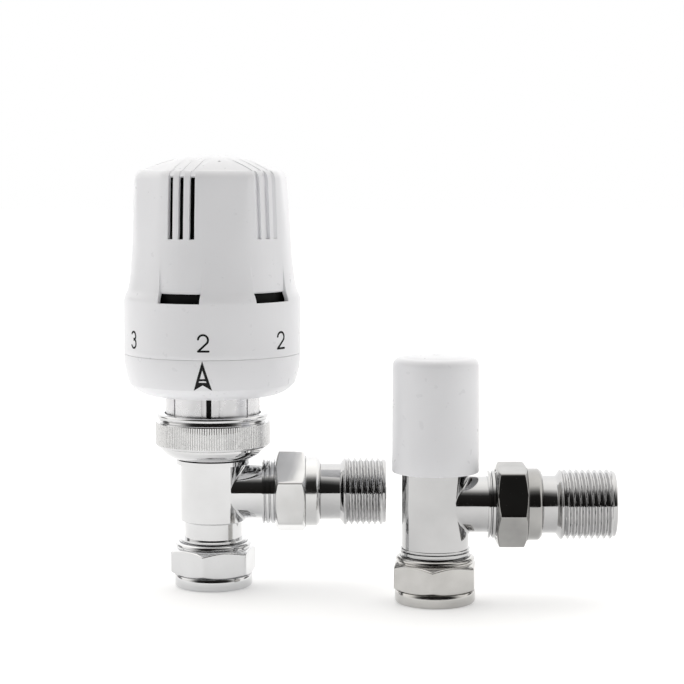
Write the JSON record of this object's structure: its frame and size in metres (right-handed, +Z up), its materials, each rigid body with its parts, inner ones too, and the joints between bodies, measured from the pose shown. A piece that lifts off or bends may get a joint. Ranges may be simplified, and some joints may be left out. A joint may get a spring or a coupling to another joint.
{
  "type": "radiator valve set",
  "caption": "Angled thermostatic radiator valve with turning sensor head, and its matching angled lockshield valve under a pull-off cap.",
  "frame": {"origin": "centre of the thermostatic valve's pipe socket, on the plane that both compression nuts stand on", "axes": "+Z up along the valve spindle, +X along both radiator tails, -Y towards the viewer"},
  "size_m": [0.149, 0.065, 0.134],
  "materials": {
    "chrome_plate": "polished chromium plate on brass",
    "brass": "machined",
    "spring_steel": "drawn stainless wire",
    "rubber": "matt EPDM",
    "white_plastic": "satin moulded",
    "silver_plastic": "satin silver",
    "black_plastic": "matt moulded",
    "sensor_metal": "drawn can"
  },
  "bodies": {
    "valves": {"trv_body": "chrome_plate", "trv_bonnet": "chrome_plate", "trv_bonnet_oring": "rubber", "trv_spindle_oring": "rubber", "trv_gland": "brass", "trv_olive": "brass", "trv_tail": "chrome_plate", "trv_tail_oring": "rubber", "trv_snap_ring": "spring_steel", "coupling_circlip": "spring_steel", "neck_sleeve": "silver_plastic", "index_strip": "black_plastic", "pointer_ring": "white_plastic", "guide_cage": "black_plastic", "ls_body": "chrome_plate", "ls_olive": "brass", "ls_tail": "chrome_plate", "ls_tail_oring": "rubber", "ls_snap_ring": "spring_steel", "ls_bonnet": "brass", "ls_bonnet_oring": "rubber", "ls_gland_nut": "brass", "ls_spindle_oring": "rubber"},
    "head": {"handwheel": "white_plastic", "retaining_ring": "black_plastic", "drive_cage": "black_plastic"},
    "sensor": {"sensor_carrier": "black_plastic", "sensor_capsule": "sensor_metal", "thrust_pin": "black_plastic", "overtravel_spring": "spring_steel", "spring_cap": "black_plastic"},
    "valve_plug": {"valve_spindle": "spring_steel", "valve_disc": "brass", "valve_seal": "rubber", "spindle_spring": "spring_steel"},
    "head_coupling": {"coupling_nut": "chrome_plate"},
    "trv_pipe_nut": {"trv_compression_nut": "chrome_plate"},
    "ls_pipe_nut": {"ls_compression_nut": "chrome_plate"},
    "trv_branch_nut": {"trv_union_nut": "chrome_plate"},
    "ls_branch_nut": {"ls_union_nut": "chrome_plate"},
    "lockshield_cap": {"ls_cap": "white_plastic"},
    "lockshield_jumper": {"ls_jumper": "brass", "ls_jumper_washer": "rubber"},
    "lockshield_spindle": {"ls_spindle": "brass"}
  },
  "joints": [
    {"name": "head_turn", "type": "hinge", "parent": "valves", "child": "head", "pos_m": [0, 0, 0.1], "axis": [0, 0, 1], "range_deg": [-117, 175]},
    {"name": "sensor_travel", "type": "slide", "parent": "valves", "child": "sensor", "axis": [0, 0, 1], "range_m": [-0.00129, 0.00193]},
    {"name": "valve_lift", "type": "slide", "parent": "valves", "child": "valve_plug", "axis": [0, 0, 1], "range_m": [-0.0014, 0.0021], "deforming": ["spindle_spring"]},
    {"name": "coupling_nut_turn", "type": "hinge", "parent": "valves", "child": "head_coupling", "pos_m": [0, 0, 0.05], "axis": [0, 0, 1], "continuous": true},
    {"name": "trv_pipe_nut_turn", "type": "hinge", "parent": "valves", "child": "trv_pipe_nut", "pos_m": [0, 0, 0.007], "axis": [0, 0, 1], "continuous": true},
    {"name": "ls_pipe_nut_turn", "type": "hinge", "parent": "valves", "child": "ls_pipe_nut", "pos_m": [0.0681, -0.024, 0.007], "axis": [0, 0, 1], "continuous": true},
    {"name": "trv_union_nut_turn", "type": "hinge", "parent": "valves", "child": "trv_branch_nut", "pos_m": [0.024, 0, 0.0296], "axis": [1, 0, 0], "continuous": true},
    {"name": "ls_union_nut_turn", "type": "hinge", "parent": "valves", "child": "ls_branch_nut", "pos_m": [0.0921, -0.024, 0.0296], "axis": [1, 0, 0], "continuous": true},
    {"name": "cap_lift", "type": "slide", "parent": "valves", "child": "lockshield_cap", "axis": [0, 0, 1], "range_m": [0, 0.04]},
    {"name": "ls_jumper_travel", "type": "slide", "parent": "valves", "child": "lockshield_jumper", "axis": [0, 0, 1], "range_m": [-0.0015, 0.0015]},
    {"name": "ls_spindle_turn", "type": "hinge", "parent": "lockshield_jumper", "child": "lockshield_spindle", "pos_m": [0.0681, -0.024, 0.05], "axis": [0, 0, 1], "range_deg": [-361, 361]}
  ],
  "couplings": [
    {"joint": "head_turn", "follows": "sensor_travel", "rad_per_m": 1570.8},
    {"joint": "valve_lift", "follows": "sensor_travel", "ratio": 1},
    {"joint": "ls_spindle_turn", "follows": "ls_jumper_travel", "rad_per_m": 4188.8}
  ]
}
